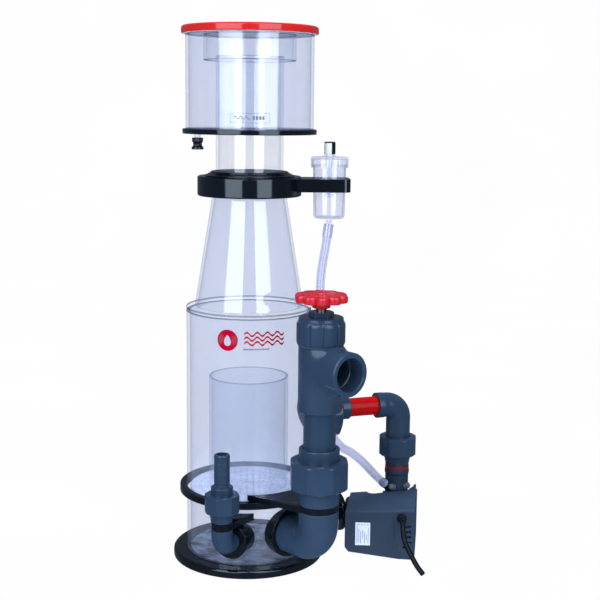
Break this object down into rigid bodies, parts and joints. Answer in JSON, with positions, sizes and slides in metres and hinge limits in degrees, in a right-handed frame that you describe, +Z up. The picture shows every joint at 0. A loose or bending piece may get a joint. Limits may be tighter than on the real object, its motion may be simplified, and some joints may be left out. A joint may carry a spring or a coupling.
{
  "type": "protein skimmer",
  "caption": "Upright clear protein skimmer with a lift-off foam cup, lobed-wheel outlet valve, air silencer, pipe unions and an external recirculating pump.",
  "frame": {"origin": "on the floor under the middle of the round body, at the underside of the base plate", "axes": "+Z up along the body's axis, -Y towards the front where the outlet valve and inlet stand, +X towards the pump and silencer"},
  "size_m": [0.3088, 0.2518, 0.637],
  "materials": {
    "clear_acrylic": "polished clear cast acrylic with a faint cool tint",
    "black_acrylic": "polished blue-black acrylic",
    "slate_pvc": "moulded slate-blue PVC, satin",
    "red_acrylic": "polished red acrylic",
    "red_plastic": "moulded red plastic, glossy",
    "pump_plastic": "moulded dark slate plastic, fine texture",
    "black_plastic": "moulded black plastic",
    "rubber": "black rubber",
    "hose": "soft translucent hose",
    "steel": "turned stainless steel",
    "magnet": "sintered ferrite",
    "ceramic": "polished ceramic",
    "copper": "enamelled copper winding"
  },
  "bodies": {
    "frame": {"air_hose": "hose", "air_nipple": "black_plastic", "base_plate": "black_acrylic", "body_top_plate": "clear_acrylic", "body_tube": "clear_acrylic", "bonnet": "slate_pvc", "bubble_plate": "clear_acrylic", "collar": "black_acrylic", "collar_o_ring": "rubber", "cone": "clear_acrylic", "discharge_pipe": "black_acrylic", "inlet_elbow": "slate_pvc", "inlet_flange": "black_acrylic", "inlet_hose_tail": "slate_pvc", "inlet_support_plate": "black_acrylic", "inlet_union_body": "slate_pvc", "inner_tube": "clear_acrylic", "outlet_elbow": "slate_pvc", "outlet_flange": "black_acrylic", "outlet_support_plate": "black_acrylic", "outlet_union_body": "slate_pvc", "outlet_union_end": "slate_pvc", "packing_nut": "slate_pvc", "power_cord": "rubber", "pump_cover": "pump_plastic", "pump_housing": "pump_plastic", "pump_seal_ring": "red_plastic", "pump_union_body": "slate_pvc", "pump_volute": "pump_plastic", "return_elbow": "slate_pvc", "return_pipe": "red_acrylic", "return_union_body": "slate_pvc", "return_union_end": "slate_pvc", "riser_pipe": "slate_pvc", "shaft_bush": "ceramic", "silencer_arm": "black_acrylic", "silencer_cup": "clear_acrylic", "stator_coil": "copper", "support_ring": "black_acrylic", "valve_tee": "slate_pvc"},
    "neck_lock": {"neck_ring": "black_acrylic"},
    "cup": {"neck_tube": "clear_acrylic", "cup_floor": "black_acrylic", "cup_tube": "clear_acrylic", "drain_nipple": "clear_acrylic"},
    "cup_lid": {"lid": "red_acrylic", "lid_skirt": "clear_acrylic"},
    "drain_plug": {"drain_cap": "black_plastic"},
    "silencer_top": {"silencer_lid": "clear_acrylic"},
    "adjuster": {"air_adjuster": "black_plastic"},
    "plug": {"valve_plug": "black_plastic"},
    "wheel": {"handwheel": "red_plastic", "valve_stem": "steel"},
    "outlet_nut": {"outlet_union_nut": "slate_pvc"},
    "inlet_nut": {"inlet_union_nut": "slate_pvc"},
    "return_nut": {"return_union_nut": "slate_pvc"},
    "pump_nut": {"pump_union_nut": "slate_pvc"},
    "rotor": {"impeller": "black_plastic", "rotor_magnet": "magnet", "rotor_shaft": "ceramic"}
  },
  "joints": [
    {"name": "cup_turn", "type": "hinge", "parent": "frame", "child": "neck_lock", "pos_m": [0, 0, 0.465], "axis": [0, 0, 1], "range_deg": [0, 45]},
    {"name": "cup_lift", "type": "slide", "parent": "neck_lock", "child": "cup", "axis": [0, 0, 1], "range_m": [0, 0.13]},
    {"name": "lid_lift", "type": "slide", "parent": "cup", "child": "cup_lid", "axis": [0, 0, 1], "range_m": [0, 0.06]},
    {"name": "drain_cap_turn", "type": "hinge", "parent": "cup", "child": "drain_plug", "pos_m": [-0.0605, -0.014, 0.5], "axis": [0, 0, 1], "range_deg": [0, 720]},
    {"name": "silencer_lid_lift", "type": "slide", "parent": "frame", "child": "silencer_top", "axis": [0, 0, 1], "range_m": [0, 0.02]},
    {"name": "air_adjuster_turn", "type": "hinge", "parent": "silencer_top", "child": "adjuster", "pos_m": [0.0946, 0, 0.5], "axis": [0, 0, 1], "range_deg": [0, 270]},
    {"name": "valve_plug_slide", "type": "slide", "parent": "frame", "child": "plug", "axis": [0, 0, 1], "range_m": [0, 0.0321]},
    {"name": "handwheel_turn", "type": "hinge", "parent": "plug", "child": "wheel", "pos_m": [0.0805, -0.105, 0.33], "axis": [0, 0, 1], "range_deg": [0, 2880]},
    {"name": "outlet_union_nut_turn", "type": "hinge", "parent": "frame", "child": "outlet_nut", "pos_m": [0.0805, -0.105, 0.1326], "axis": [0, 0, 1], "range_deg": [0, 720]},
    {"name": "inlet_union_nut_turn", "type": "hinge", "parent": "frame", "child": "inlet_nut", "pos_m": [-0.03, -0.1035, 0.0977], "axis": [0, 0, 1], "range_deg": [0, 720]},
    {"name": "return_union_nut_turn", "type": "hinge", "parent": "frame", "child": "return_nut", "pos_m": [0, 0, 0.173], "axis": [0.9537, 0.3007, 0], "range_deg": [0, 720]},
    {"name": "pump_union_nut_turn", "type": "hinge", "parent": "frame", "child": "pump_nut", "pos_m": [0.19122, 0.06029, 0.1188], "axis": [0, 0, 1], "range_deg": [0, 720]},
    {"name": "rotor_spin", "type": "hinge", "parent": "frame", "child": "rotor", "pos_m": [0.15498, 0.04886, 0.034], "axis": [-0.3007, 0.9537, 0], "continuous": true}
  ],
  "couplings": [
    {"joint": "valve_plug_slide", "follows": "handwheel_turn", "m_per_rad": 0.00063662}
  ]
}
